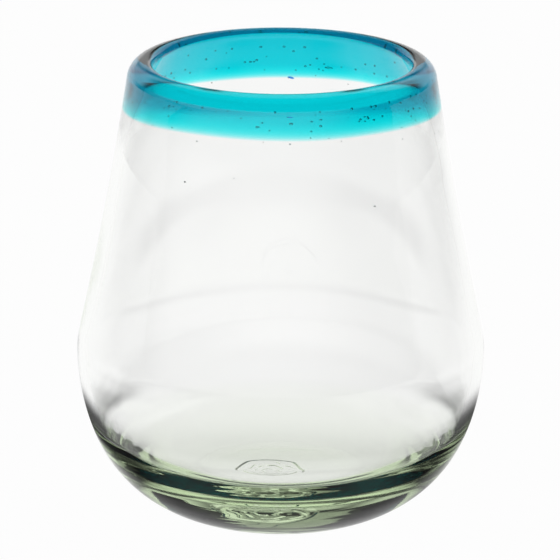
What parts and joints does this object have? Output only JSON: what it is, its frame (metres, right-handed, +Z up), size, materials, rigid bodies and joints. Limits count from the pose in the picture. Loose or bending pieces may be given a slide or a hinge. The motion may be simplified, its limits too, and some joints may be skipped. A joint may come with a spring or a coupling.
{
  "type": "stemless wine glass",
  "caption": "Hand-blown stemless wine glass with a clear rounded bowl, a heavy greenish base and a fused aqua lip, for holding wine or water.",
  "frame": {"origin": "centre of the foot, on the plane that rests on the table", "axes": "+Z up along the axis of the bowl, -Y towards the side seen in the picture, +X to its right"},
  "size_m": [0.0966, 0.0964, 0.109],
  "materials": {
    "aqua_glass": "fire-polished",
    "clear_glass": "fire-polished",
    "green_glass": "fire-polished",
    "scar_glass": "broken and ground"
  },
  "bodies": {
    "root": {"rim_wrap": "aqua_glass", "bowl_wall": "clear_glass", "heavy_base": "green_glass", "pontil_mark": "scar_glass"}
  },
  "joints": []
}
